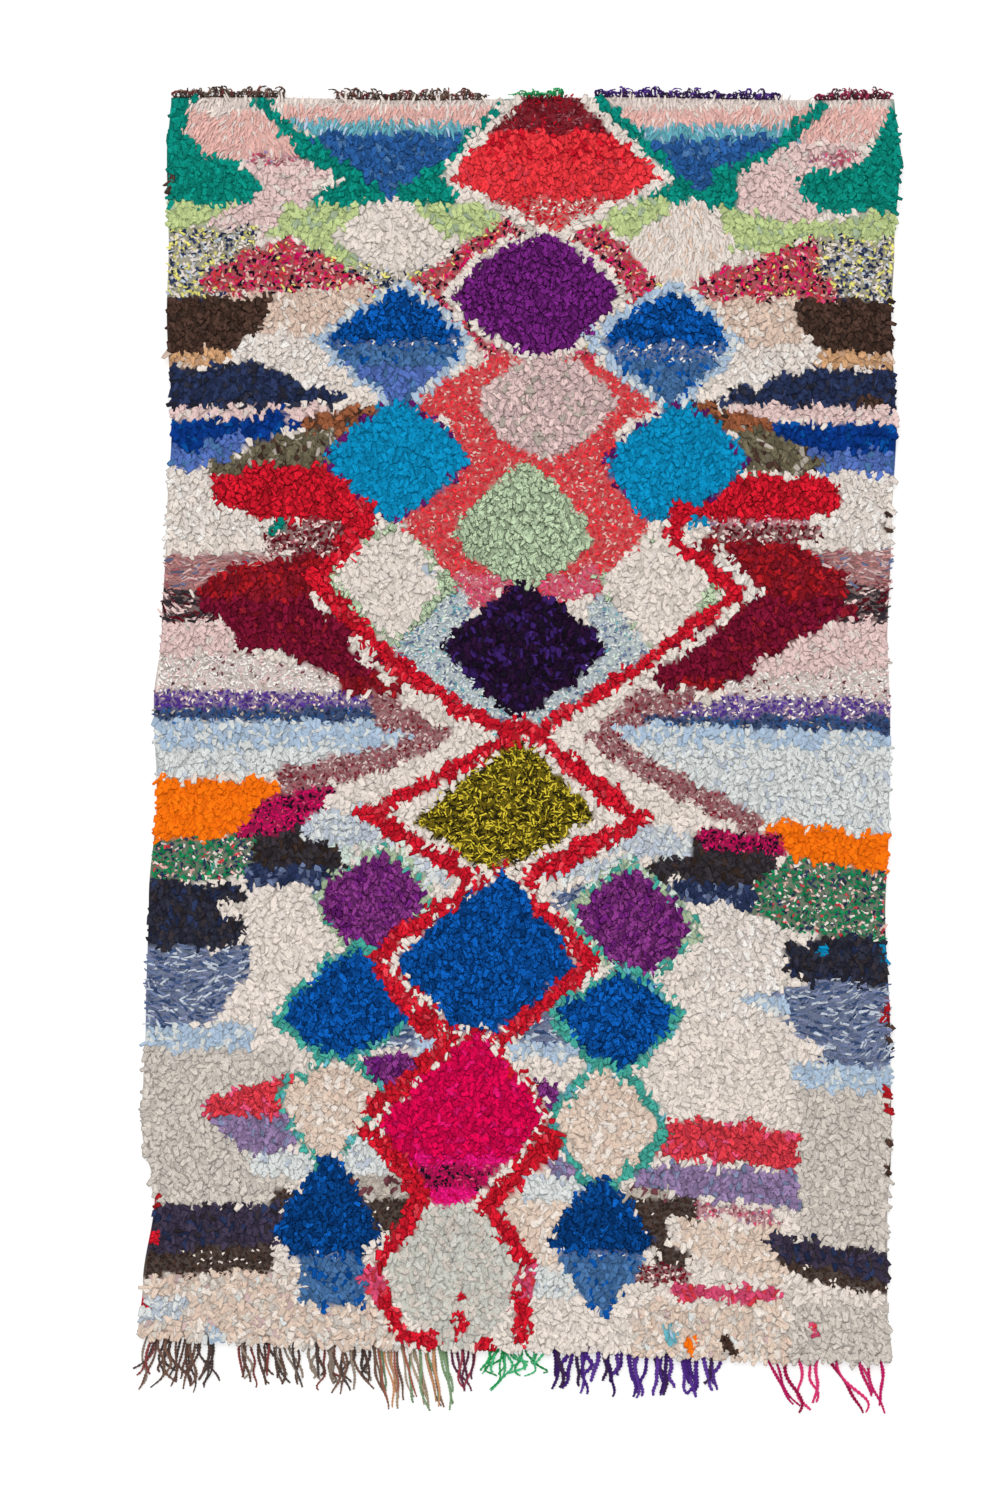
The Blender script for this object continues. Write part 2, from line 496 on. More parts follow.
# Lozenges, the ones behind first. Columns: yarn, U and V of the top, left, right and bottom corner,
# roundness (1 is straight-sided), yarn of the border and its width, which is 0 where there is none.
LOZENGES = (
    ("confetti_red", 6, 20, -21, 37.6, 29.4, 38.4, 5.6, 60, 1.15, "", 0),
    ("red_white", 5, 48, -24, 60.2, 28.4, 61, 4, 77, 1.0, "", 0),
    ("red_white", 1.4, 64, -24, 87.2, 25, 88.6, 1, 101, 1.0, "", 0),
    ("scarlet_fleck", 5.4, -5, -14.2, 16.2, 28.2, 16.4, 6.4, 27.8, 1.0, "cream", 1.6),
    ("purple", 4, 28, -13, 40, 19.4, 39.6, 5, 52.2, 1.4, "cream", 1.2),
    ("blush", 5, 51.8, -8, 61.6, 18.6, 61, 5, 72, 1.6, "", 0),
    ("mint", 1.4, 73, -13.6, 88, 14.6, 89.2, 1, 98, 1.2, "", 0),
    ("aubergine", 0.4, 97, -15.6, 109.8, 17.2, 110.6, 0, 124, 1.15, "", 0),
    ("chain", -3.5, 150, -29.6, 172.2, 15.6, 174.6, -8, 194, 1.0, "", 0),
    ("chain", 2, 124.4, -33.6, 143.2, 27.2, 145, -4, 161.6, 1.0, "", 0),
    ("cream", 1, 128, -27, 143.6, 20.4, 144.8, -5, 157, 1.0, "", 0),
    ("chain", -8, 184, -32.6, 205, 8.4, 207, -14, 229, 1.0, "", 0),
    ("lurex", 0, 128.6, -21.2, 144.4, 15, 144, -5.4, 155.6, 1.1, "", 0),
    ("royal", -3, 155, -24.6, 172.6, 10.4, 174, -8, 188.4, 1.15, "dotted", 1.4),
    ("crimson", -8, 187.6, -28, 205.2, 4.4, 203.8, -14, 224, 1.15, "dotted", 1.4),
    ("grey_cream", -14, 221.6, -26.6, 233, -1, 233.4, -12, 250, 1.7, "", 0),
    ("cream", -26, 20, -37, 28.8, -15, 28.6, -24, 35.6, 1.25, "", 0),
    ("royal", -23.2, 38.4, -39.4, 48.8, -11, 49.4, -23.4, 61.6, 1.15, "sky", 1.3),
    ("turquoise", -24.4, 61.4, -38, 72.2, -11.4, 72.8, -25.4, 84, 1.3, "turquoise_edge", 0.7),
    ("mint", -25.6, 85.6, -39.6, 96.8, -12.4, 97.4, -25.2, 109.6, 1.1, "", 0),
    ("cream", -25.6, 86.8, -36.4, 95.6, -15.6, 96.4, -25.4, 108.2, 1.25, "", 0),
    ("grape", -27.4, 151.2, -40.2, 160, -18.8, 160.6, -31, 171.4, 1.25, "mint_teal", 1.3),
    ("royal", -32.4, 170.6, -47.6, 183.8, -22.8, 184, -36, 192.6, 1.2, "teal", 1.3),
    ("peach_cream", -36.6, 192.6, -47.2, 199.6, -28.4, 199.2, -39, 213, 1.3, "teal", 1.0),
    ("deep_royal", -38, 210.6, -49.2, 227.2, -28.4, 226.6, -38, 237, 1.15, "", 0),
    ("cream_wool", 34.2, 20.4, 21.2, 30.4, 43, 29, 31.6, 38.8, 1.25, "", 0),
    ("royal", 31, 38.8, 15.4, 48.8, 42.2, 49.6, 30.4, 61.4, 1.15, "sky", 1.6),
    ("turquoise", 31.6, 62, 18, 73, 44.8, 73.2, 28.2, 84.8, 1.3, "turquoise_edge", 0.7),
    ("mint", 26.4, 87.8, 15.4, 96.8, 41.6, 96.8, 27.6, 111.4, 1.1, "", 0),
    ("cream", 26.4, 88.4, 16.4, 96.8, 38.4, 96.6, 27.6, 110.4, 1.25, "", 0),
    ("grape", 21.8, 153.8, 11.2, 163.8, 34.2, 167, 23.6, 176, 1.25, "mint_teal", 1.3),
    ("royal", 21.2, 175.4, 7.6, 182.8, 31, 183.8, 19, 194.8, 1.25, "teal", 1.3),
    ("peach_cream", 16.4, 194.6, 8, 204.4, 27.6, 206.6, 16, 217, 1.35, "teal", 1.7),
    ("deep_royal", 16.4, 215.6, 5.4, 228, 26.4, 229, 16.4, 243.6, 1.2, "", 0),
)

# Stripes inside lozenges. Columns: row of the lozenge in LOZENGES, yarn, top and bottom V.
STRIPES = (
    (2, "rose_fleck", 95.6, 102),
    (3, "oxblood_fleck", 0, 7.4),
    (3, "scarlet", 7.4, 13),
    (3, "scarlet_white", 20.4, 30),
    (14, "hot_pink", 211.4, 224),
    (14, "magenta_black", 213.4, 218),
    (17, "royal_fleck", 48.8, 50.4),
    (17, "denim", 50.4, 54),
    (17, "cornflower", 54, 61.6),
    (24, "royal_fleck", 231, 232),
    (24, "denim", 232, 240),
    (26, "royal_fleck", 49.4, 53),
    (26, "denim", 53, 61.6),
    (33, "royal_fleck", 230.6, 231.8),
    (33, "denim", 231.8, 246),
)

# Laid over everything: odd tufts, then zigzags beside the cream lozenges and below the crimson one.
# The columns are those of CHAINS.
LATER_CHAINS = (
    ("orange", 2.0, 33.6, 248.6, 34.6, 250.4),
    ("aqua", 2.4, 29.4, 245.6, 30, 248.4),
    ("umber", 1.8, 41, 248.6, 42, 250.4),
    ("rose", 1.6, 58.6, 246, 59.4, 247),
    ("sky", 2.6, -62, 247.4, -59.6, 249.4),
    ("emerald", 2.2, -49.6, 86.6, -47.6, 85.6),
    ("turquoise", 1.6, 34, 84.8, 37.4, 85.4),
    ("sky", 2.4, -18.6, 94.4, -18, 95.2),
    ("umber", 1.6, 73, 84.6, 73.4, 86.6),
    ("chain", 4.4, -31.6, 82, -35, 91.6),
    ("chain", 3.8, -35, 91.6, -41.6, 96, -35.6, 102.6),
    ("chain", 3.4, -35.6, 102.6, -29.4, 109.4, -22, 115.6),
    ("chain", 3.2, -22, 115.6, -10, 124),
    ("chain", 3.0, -10, 124, 0, 126.8),
    ("cream", 2.2, -40.6, 100.6, -38.6, 103),
    ("cream", 2.4, -33, 108.8, -29.4, 113.4),
    ("cream", 2.0, -27.6, 114.6, -25.6, 117),
    ("cream", 3.4, -22.4, 119.6, -9, 128),
    ("chain", 4.0, 32, 83, 30.4, 88),
    ("chain", 2.8, 30.4, 88, 43.6, 99.4),
    ("chain", 2.6, 43.6, 99.4, 35.6, 105),
    ("chain", 2.8, 35.6, 105, 22, 115.4),
    ("chain", 2.6, 22, 115.4, 3, 127.2),
    ("ivory", 2.8, 39.6, 91.6, 47, 99.4),
    ("cream", 1.8, 42.6, 102.4, 37.6, 107.2),
    ("cream", 1.8, 36.6, 108, 25, 115.8),
    ("cream", 3.2, 19, 121, 8, 128),
    ("chain", 2.6, -16.6, 162.4, -26, 169.2),
    ("chain", 3.0, -27, 170, -28.6, 172.6, -24.8, 179.6, -19, 185.6),
    ("chain", 3.2, -19, 185.6, -15, 190),
    ("chain", 3.0, -15, 190, -30, 202.6),
    ("chain", 2.6, 4, 162.6, 12.6, 169.8),
    ("chain", 3.0, 12.6, 169.8, 14.4, 173.6),
    ("chain", 2.8, 14.4, 173.6, 2.6, 183, -3.6, 188),
    ("chain", 3.0, -31, 206, -23.2, 213.8),
    ("chain", 3.4, -23.2, 213.8, -19.8, 219.4),
    ("chain", 3.6, -19.8, 219.4, -22.2, 225, -27.8, 232.2),
    ("chain", 3.0, -27.8, 232.2, -29.6, 236),
    ("rose", 3.6, -29.6, 236, -27.6, 240),
    ("chain", 3.6, -27.4, 240, -23.8, 246.6),
    ("chain", 3.4, -23.8, 247.4, -17.8, 248.8),
    ("chain", 3.4, 7, 208.6, -1.6, 216.8),
    ("chain", 3.2, -1.6, 216.8, -6.4, 221.2, 1.8, 233.8),
    ("rose", 3.2, 1.8, 235, 0.2, 239.4),
    ("chain", 3.0, 0, 239.6, 0.4, 249),
    ("chain", 1.6, -11.8, 239.6, -11.8, 240.6),
    ("chain", 2.4, -12, 243.6, -12, 245.2),
    ("chain", 1.2, -12.6, 246.8, -12.6, 249),
    ("chain", 3.0, -7.6, 249.6, -3.4, 251.6),
)

# Loose warp ends below the field. Each row: CAD node, slot, X from, X to, yarns, shortest, longest,
# lean, the colours of its yarns in 8-bit sRGB, their radius, and how tangled they lie. The rows of
# clipped loops at the top edge stop after the colours.
UMBER_YARNS = ((92, 68, 60), (112, 84, 72), (74, 62, 60), (124, 62, 60), (140, 126, 114))
MIXED_YARNS = (
    (128, 98, 76),
    (184, 134, 98),
    (160, 142, 120),
    (120, 148, 112),
    (158, 92, 76),
    (104, 80, 70),
)
ROSE_YARNS = ((164, 62, 80), (190, 96, 108), (92, 44, 66))
GREEN_YARNS = ((22, 140, 72), (40, 164, 92), (70, 176, 120))
VIOLET_YARNS = ((72, 38, 124), (56, 30, 92), (92, 56, 146), (60, 40, 76))
MAGENTA_YARNS = ((176, 26, 92), (206, 52, 112), (150, 18, 70))
WINE_YARNS = ((142, 40, 72), (176, 62, 98), (100, 36, 54), (84, 60, 60))
FRINGE_GROUPS = (
    ("fringe_umber_1", "umber_warp", -0.742, -0.612, 25, 0.070, 0.115, -0.012, UMBER_YARNS, 0.0040, 2.2),
    ("fringe_umber_2", "umber_warp", -0.560, -0.446, 18, 0.070, 0.095, 0.012, UMBER_YARNS, 0.0042, 1.6),
    ("fringe_umber_3", "umber_warp", -0.420, -0.304, 20, 0.065, 0.105, 0.010, UMBER_YARNS, 0.0040, 1.8),
    ("fringe_mixed", "mixed_warp", -0.298, -0.146, 28, 0.090, 0.132, 0.026, MIXED_YARNS, 0.0038, 0.8),
    ("fringe_rose", "rose_warp", -0.138, -0.090, 7, 0.070, 0.095, 0.014, ROSE_YARNS, 0.0036, 1.2),
    ("fringe_green", "green_warp", -0.068, 0.040, 18, 0.035, 0.100, -0.006, GREEN_YARNS, 0.0032, 2.0),
    ("fringe_violet", "violet_warp", 0.058, 0.400, 34, 0.050, 0.100, 0.006, VIOLET_YARNS, 0.0054, 1.2),
    ("fringe_magenta", "magenta_warp", 0.480, 0.735, 12, 0.060, 0.120, 0.034, MAGENTA_YARNS, 0.0044, 1.6),
)
STUB_GROUPS = (
    ("stubs_umber_1", "umber_warp", -0.690, -0.470, 110, 0.003, 0.016, 0.000, UMBER_YARNS),
    ("stubs_umber_2", "umber_warp", -0.370, -0.070, 140, 0.003, 0.015, 0.000, UMBER_YARNS),
    ("stubs_green", "green_warp", -0.010, 0.085, 36, 0.003, 0.011, 0.000, GREEN_YARNS),
    ("stubs_violet", "violet_warp", 0.150, 0.520, 150, 0.003, 0.014, 0.000, VIOLET_YARNS),
    ("stubs_wine", "magenta_warp", 0.590, 0.738, 66, 0.004, 0.018, 0.004, WINE_YARNS),
)

# Section through the cloth.
GROUND_RIM = 0.005
GROUND_INSIDE = 0.0160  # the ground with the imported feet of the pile
GROUND_LUMP = 0.0010
GROUND_CELL = 0.012
CREASE_LOSS = 0.2  # how much brighter a yarn is dyed for each time its creases deepen
CREASE_WIDTH = 0.04  # how far from its middle value the crease noise still darkens the yarn
KNOT_HEIGHT = 0.008
SPECULAR = 0.04
SWELL = 0.002
SWELL_LENGTH = 0.46
RIM_BAND = 0.022  # tufts this close to a side lean out over it
TOP_BAND = 0.011  # tufts this close to the top edge may lean up over it
TOP_SHARE = 0.6
GROUND_INSET = 0.0016  # share of the length by which the ground stays inside both ends
SIDE_OVERHANG = 0.005

# The section of one lock, root first. Rows: share of the reach, of the rise, of the width, shade.
LOCK_RINGS = (
    (0.10, 0.78, 0.76, 0.92),
    (0.50, 1.00, 1.00, 1.00),
    (1.00, 0.92, 0.45, 1.00),
)
CURL_RINGS = (
    (0.22, 0.90, 1.00, 0.94),
    (1.00, 0.96, 0.62, 1.00),
)
ROOT_SHADE = 0.85

PIECE_LOCKS = 12000  # locks in one mesh, so that it stays under 200,000 triangles
PILE_WIDTH = 1.48  # over which the knots are counted
GROUND_WIDTH = 1.5  # over which the cells of the ground are counted
CELL_MARGIN = 0.06  # of a lock's cell on its map that stays free at each side
SEEN_REACH = 0.6  # share of a lock's reach at which the chart is read
WARP_TUCK = 0.010  # how far a loose warp end starts inside the field
LOOP_TUCK = 0.004  # how far a clipped loop starts inside the field
WARP_REST = 0.0028  # height at which a loose warp end lies
LAYER_RISE = 0.0030  # how much higher each layer of loose warp ends lies
BUNDLE_YARNS = 5
WARP_TURNS = 80.0  # turns of its plies that a metre of warp end has
FLOOR_GAP = 0.0003  # least height of a yarn over the floor
PLY_RADIUS = 0.56  # shares of the yarn's radius
PLY_OFFSET = 0.5
FLOOR_GREY = 0.5
FLOOR_GLOW = 0.55  # so that the floor looks white
SKY_STRENGTH = 0.80
SUN_ENERGY = 1.5
SUN_ANGLE = 40.0
SUN_TILT = (-34.0, -8.0)
DYE_SPREAD = 0.40  # how much one knot's shade may differ from the next one's

# Camera over the rug.
VIEW_CENTRE = (-0.039, -1.306)  # loom X and Y in the middle of the picture
VIEW_HEIGHT = 3.0
LENS_MM = 90.0
SENSOR_MM = 36.0


def loom_shift():
    """How far the CAD part moved the loom's zero point, read off its first clipped group."""
    low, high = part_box("stubs_umber_1")
    steps = np.linspace(HEADING_START, HEADING_START + high.x - low.x, 200)
    return low.x - HEADING_START, low.y - (top_edge(steps).min() + HEADING_GAP)


def top_edge(x):
    """Y of the field's top edge at X, on the loom."""
    return EDGE_WAVE * np.sin(math.tau * WAVES_PER_METRE * x)


def bottom_edge(x):
    """Y of the field's bottom edge at X, on the loom."""
    return -FIELD_LENGTH - BOTTOM_SLOPE * x + EDGE_WAVE * np.sin(math.tau * WAVES_PER_METRE * x + 1.0)


def side_at(v, column):
    """X of one side of the field at V, eased from station to station."""
    stations = SIDES[:, 0]
    below = np.clip(np.searchsorted(stations, v), 1, len(stations) - 1)
    above = below - 1
    share = np.clip((v - stations[above]) / (stations[below] - stations[above]), 0.0, 1.0)
    eased = share * share * (3.0 - 2.0 * share)
    return SIDES[above, column] + eased * (SIDES[below, column] - SIDES[above, column])


def field_point(across, down):
    """Loom X and Y of the shares across and down the field."""
    v = down * FIELD_LENGTH
    left = side_at(v, 1)
    x = left + (side_at(v, 2) - left) * across
    top = top_edge(x)
    return x, top + (bottom_edge(x) - top) * down


def swell(x, y):
    """Broad rise and fall of the pile."""
    return SWELL * np.sin(math.tau * x / SWELL_LENGTH) * np.cos(math.tau * y / SWELL_LENGTH)


def drift(x, y, length, rng):
    """Smooth noise from -1 to 1 with a given wavelength."""
    total = np.zeros_like(x)
    for turn in rng.uniform(0.0, math.tau, 5):
        pace = math.tau / (length * rng.uniform(0.7, 1.4))
        total += np.sin((x * math.cos(turn) + y * math.sin(turn)) * pace + rng.uniform(0.0, math.tau))
    return total / 2.6


def linear(colour):
    """8-bit sRGB to linear light."""
    share = np.asarray(colour, float) / 255.0
    return np.where(share <= 0.04045, share / 12.92, ((share + 0.055) / 1.055) ** 2.4)


YARN_NAMES = sorted(YARNS)
YARN_INDEX = {name: index for index, name in enumerate(YARN_NAMES)}


def paint_bands(chart, u, v, rows):
    """Fills each band from station to station."""
    for name, *places in rows:
        stations = np.array(places, float).reshape(-1, 3)
        for (u_from, top_from, low_from), (u_to, top_to, low_to) in zip(stations, stations[1:]):
            share = (u - u_from) / (u_to - u_from)
            top = top_from + (top_to - top_from) * share
            low = low_from + (low_to - low_from) * share
            inside = (share >= 0.0) & (share <= 1.0) & (v >= top) & (v < low)
            chart[inside] = YARN_INDEX[name]


def paint_chains(chart, u, v, rows):
    """Fills a strip of one width along each chain, with round ends."""
    for name, width, *places in rows:
        knots = np.array(places, float).reshape(-1, 2)
        for (u_from, v_from), (u_to, v_to) in zip(knots, knots[1:]):
            du, dv = u_to - u_from, v_to - v_from
            share = np.clip(((u - u_from) * du + (v - v_from) * dv) / (du * du + dv * dv), 0.0, 1.0)
            away = np.hypot(u - u_from - share * du, v - v_from - share * dv)
            chart[away < width / 2.0] = YARN_INDEX[name]


def inside_lozenge(u, v, row, margin):
    """True where a point lies in a lozenge that is grown by a margin."""
    top, left, right, low = (np.array(row[i : i + 2], float) for i in (1, 3, 5, 7))
    roundness = row[9]
    waist = left[1] + (right[1] - left[1]) * (u - left[0]) / (right[0] - left[0])
    tip = np.where(v < waist, top[1], low[1])
    tip_u = np.where(v < waist, top[0], low[0])
    middle = (top[0] + low[0]) / 2.0
    height = np.abs(tip - waist)
    up = np.abs(v - waist) / height
    axis = middle + (tip_u - middle) * np.minimum(up, 1.0)
    reach = np.where(u < axis, middle - left[0], right[0] - middle)
    out = np.abs(u - axis) / reach
    inradius = reach * height / np.hypot(reach, height)
    return out**roundness + up**roundness <= (1.0 + margin / inradius) ** roundness


def paint_lozenges(chart, u, v):
    for index, row in enumerate(LOZENGES):
        border, width = row[10], row[11]
        if width:
            chart[inside_lozenge(u, v, row, width)] = YARN_INDEX[border]
        within = inside_lozenge(u, v, row, 0.0)
        chart[within] = YARN_INDEX[row[0]]
        for number, name, top, low in STRIPES:
            if number == index:
                chart[within & (v >= top) & (v < low)] = YARN_INDEX[name]


def charted(x, y, rng, wander):
    """Index of the yarn at each loom point. The outlines wander as hand knotting does."""
    u = x * CM + wander * drift(x, y, 0.05, rng) * 0.5
    v = -y * CM + wander * drift(x, y, 0.06, rng) * 0.5
    u = u + wander * rng.uniform(-0.55, 0.55, u.shape)
    v = np.maximum(v + wander * rng.uniform(-0.35, 0.35, v.shape), 0.1)
    chart = np.full(u.shape, YARN_INDEX["cream"])
    paint_bands(chart, u, v, LEFT_BANDS)
    paint_bands(chart, u, v, RIGHT_BANDS)
    paint_chains(chart, u, v, CHAINS)
    paint_lozenges(chart, u, v)
    paint_chains(chart, u, v, LATER_CHAINS)
    return chart


def dyed(chart, rng):
    """A linear colour for each point, drawn from its yarn's dyes."""
    colours = np.zeros((len(chart), 3))
    for index, name in enumerate(YARN_NAMES):
        here = np.flatnonzero(chart == index)
        if not len(here):
            continue
        dyes = YARNS[name][1]
        shares = np.array([share for _, share in dyes], float)
        table = np.array([linear(DYES[dye]) for dye, _ in dyes])
        colours[here] = table[rng.choice(len(dyes), len(here), p=shares / shares.sum())]
    return colours


def packed_dye(chart):
    """The even, darker colour that each point's yarn has between its knots."""
    table = np.zeros((len(YARN_NAMES), 3))
    for index, name in enumerate(YARN_NAMES):
        sort, dyes = YARNS[name]
        shares = np.array([share for _, share in dyes], float)
        mixed = sum(linear(DYES[dye]) * share for dye, share in dyes) / shares.sum()
        table[index] = mixed * SORTS[sort][-1]
    return table[chart]


def link(mesh, name, material):
    made = bpy.data.objects.new(name, mesh)
    bpy.context.scene.collection.objects.link(made)
    mesh.materials.append(material)
    return made


def new_mesh(name, points, loops, counts, colours, strips, uvs, smooth):
    """A mesh from flat arrays, with a colour and a place on its strip for each point.

    A fourth column of the colours is how deep the creases look.
    """
    mesh = bpy.data.meshes.new(name)
    mesh.vertices.add(len(points))
    mesh.vertices.foreach_set("co", points.astype(np.float32).ravel())
    mesh.loops.add(len(loops))
    mesh.loops.foreach_set("vertex_index", loops.astype(np.int32))
    mesh.polygons.add(len(counts))
    starts = np.concatenate(([0], np.cumsum(counts)[:-1]))
    mesh.polygons.foreach_set("loop_start", starts.astype(np.int32))
    mesh.update(calc_edges=True)
    mesh.polygons.foreach_set("use_smooth", np.full(len(counts), smooth))
    tint = mesh.color_attributes.new("dye", "FLOAT_COLOR", "POINT")
    rgba = np.ones((len(points), 4), np.float32)
    rgba[:, : colours.shape[1]] = colours
    tint.data.foreach_set("color", rgba.ravel())
    if strips is not None:
        place = mesh.attributes.new("strip", "FLOAT_VECTOR", "POINT")
        place.data.foreach_set("vector", strips.astype(np.float32).ravel())
    if uvs is not None:
        layer = mesh.uv_layers.new(name="OFBake")
        layer.data.foreach_set("uv", uvs.astype(np.float32).ravel())
    return mesh


def lock_pattern(sides, rings):
    """Corners of one lock's faces, as point numbers and as places in a unit cell of its map."""
    faces, cells = [], []
    step = 1.0 / (rings + 1)
    for side in range(sides):
        after = (side + 1) % sides
        left, right = side / sides, (side + 1) / sides
        faces.append((0, 1 + after, 1 + side))
        cells.append((((left + right) / 2.0, 0.0), (right, step), (left, step)))
        for ring in range(rings - 1):
            low, high = 1 + ring * sides, 1 + (ring + 1) * sides
            faces.append((low + side, low + after, high + after, high + side))
            bottom, top = (ring + 1) * step, (ring + 2) * step
            cells.append(((left, bottom), (right, bottom), (right, top), (left, top)))
    last = 1 + (rings - 1) * sides
    faces.append(tuple(last + side for side in range(sides)))
    corners = ((0.0, 1.0 - step), (1.0, 1.0 - step), (1.0, 1.0), (0.0, 1.0))
    cells.append(corners[:sides])
    return faces, cells


def lock_side(number, sides):
    """Place of one corner of a lock's section, as shares across and through it."""
    around = math.tau * (number + 0.5 * (sides == 3)) / sides
    return math.cos(around), math.sin(around)


def lock_points(root, turn, sizes, twist, bend, sides, rings, crumple, rng):
    """Points of every lock: a root point, then rings along a curve that rises and falls over."""
    width, thickness, rise, reach = sizes
    out = np.stack((np.cos(turn), np.sin(turn), np.zeros_like(turn)), 1)
    side = np.stack((-np.sin(turn), np.cos(turn), np.zeros_like(turn)), 1)
    up = np.array((0.0, 0.0, 1.0))
    centres = [root]
    for share_out, share_up, _, _ in rings:
        along = out * (reach * share_out)[:, None] + up * (rise * share_up)[:, None]
        centres.append(root + along + side * (bend * share_out**2)[:, None])
    points = [root[:, None, :]]
    for ring, (share_out, _, share_wide, _) in enumerate(rings):
        before, here = centres[ring], centres[ring + 1]
        after = centres[min(ring + 2, len(centres) - 1)]
        tangent = after - before
        tangent /= np.linalg.norm(tangent, axis=1)[:, None]
        normal = np.cross(tangent, side)
        angle = (twist * (0.3 + 0.7 * share_out))[:, None]
        wide = side * np.cos(angle) + normal * np.sin(angle)
        thick = np.cross(tangent, wide)
        ring_points = []
        for number in range(sides):
            place_across, place_through = lock_side(number, sides)
            across = wide * (place_across * width * share_wide / 2.0)[:, None]
            through = thick * (place_through * thickness / 2.0)[:, None]
            creased = rng.uniform(-crumple, crumple, here.shape)
            ring_points.append(here + across + through + creased)
        points.append(np.stack(ring_points, 1))
    return np.concatenate(points, 1)


def build_locks(name, sort, root, turn, colours, creasing, material, rng):
    """One mesh of closed locks that all have the same number of points."""
    _, _, width, thickness, rise, reach, crumple, sides, _, _, twist, _ = SORTS[sort]
    rings = LOCK_RINGS if sort == "wool" else CURL_RINGS
    count = len(root)
    vary = rng.uniform
    sizes = (
        width * vary(0.65, 1.25, count) / 1000.0,
        thickness * vary(0.8, 1.2, count) / 1000.0,
        rise * vary(0.88, 1.08, count) / 1000.0,
        reach * vary(0.6, 1.2, count) / 1000.0,
    )
    bend = vary(-0.3, 0.3, count) * sizes[3]
    own_twist = np.radians(vary(-twist, twist, count))
    points = lock_points(root, turn, sizes, own_twist, bend, sides, rings, crumple / 1000.0, rng)
    faces, cells = lock_pattern(sides, len(rings))
    per_lock = points.shape[1]
    pattern = np.array([corner for face in faces for corner in face])
    loops = (np.arange(count)[:, None] * per_lock + pattern).ravel()
    counts = np.tile([len(face) for face in faces], count)
    shade = np.array([ROOT_SHADE] + [row[3] for row in rings for _ in range(sides)])
    tint = colours[:, None, :] * shade[None, :, None]
    deep = np.broadcast_to(creasing[:, None, None], (count, per_lock, 1))
    tint = np.concatenate((tint, deep), 2)
    grid = math.ceil(math.sqrt(count))
    cell = np.array([place for face in cells for place in face])
    column, row = np.arange(count) % grid, np.arange(count) // grid
    inset = CELL_MARGIN + (1.0 - 2.0 * CELL_MARGIN) * cell[None, :, :]
    corner = np.stack((column, row), 1)[:, None, :] + inset
    uvs = corner.reshape(-1, 2) / grid
    across = [0.0] + [lock_side(number, sides)[0] for _ in rings for number in range(sides)]
    along = [0.0] + [row[0] for row in rings for _ in range(sides)]
    strips = np.zeros((count, per_lock, 3))
    strips[:, :, 0] = across
    strips[:, :, 1] = along
    strips[:, :, 2] = rng.uniform(0.0, 900.0, (count, 1))
    arrays = points.reshape(-1, 3), loops, counts, tint.reshape(-1, 4), strips.reshape(-1, 3)
    mesh = new_mesh(name, *arrays, uvs, False)
    return link(mesh, name, material)


def knot_places(sort, rng):
    """Roots of one sort's knots, row by row over the field, with the charted yarn of each."""
    across_mm, down_mm = SORTS[sort][:2]
    rows = int(FIELD_LENGTH / (down_mm / 1000.0))
    columns = int(PILE_WIDTH / (across_mm / 1000.0))
    down, across = np.meshgrid(np.arange(rows) + 0.5, np.arange(columns) + 0.5, indexing="ij")
    across = across + 0.5 * (np.arange(rows)[:, None] % 2) - 0.25
    down = down + rng.uniform(-0.22, 0.22, down.shape)
    across = across + rng.uniform(-0.32, 0.32, across.shape)
    down = np.clip(down.ravel() / rows, 0.002, 0.997)
    across = np.clip(across.ravel() / columns, 0.004, 0.996)
    x, y = field_point(across, down)
    return x, y


def lean_turn(x, y, lean, spread, rng):
    """Which way each lock leans: as its sort does, with drifts, and outwards at the sides."""
    turn = np.where(x < 0.0, -math.pi + math.radians(lean), -math.radians(lean))
    turn += np.radians(22.0) * drift(x, y, 0.22, rng)
    turn += np.radians(spread) * rng.uniform(-1.0, 1.0, x.shape)
    v = np.clip(-y, 0.0, FIELD_LENGTH)
    left = 1.0 - np.clip((x - side_at(v, 1)) / RIM_BAND, 0.0, 1.0)
    right = 1.0 - np.clip((side_at(v, 2) - x) / RIM_BAND, 0.0, 1.0)
    turn += np.radians(30.0) * (right - left)
    lifted = (top_edge(x) - y < TOP_BAND) & (rng.random(x.shape) < TOP_SHARE)
    return np.where(lifted, -turn, turn)


def inside_sides(x, y, overhang, rng):
    """X of each root, moved in so that its tip ends close to the side of the cloth."""
    v = np.clip(-y, 0.0, FIELD_LENGTH)
    ragged = rng.uniform(-0.004, SIDE_OVERHANG, x.shape)
    low = side_at(v, 1) - ragged - np.minimum(overhang, 0.0)
    high = side_at(v, 2) + ragged - np.maximum(overhang, 0.0)
    return np.clip(x, low, high)


def inside_ends(x, y, overhang, rng):
    """Y of each root, moved in so that its tip ends close to the top or bottom of the cloth."""
    low = bottom_edge(x) - rng.uniform(0.002, 0.009, x.shape) - np.minimum(overhang, 0.0)
    high = top_edge(x) + rng.uniform(-0.008, 0.005, x.shape) - np.maximum(overhang, 0.0)
    return np.clip(y, low, high)


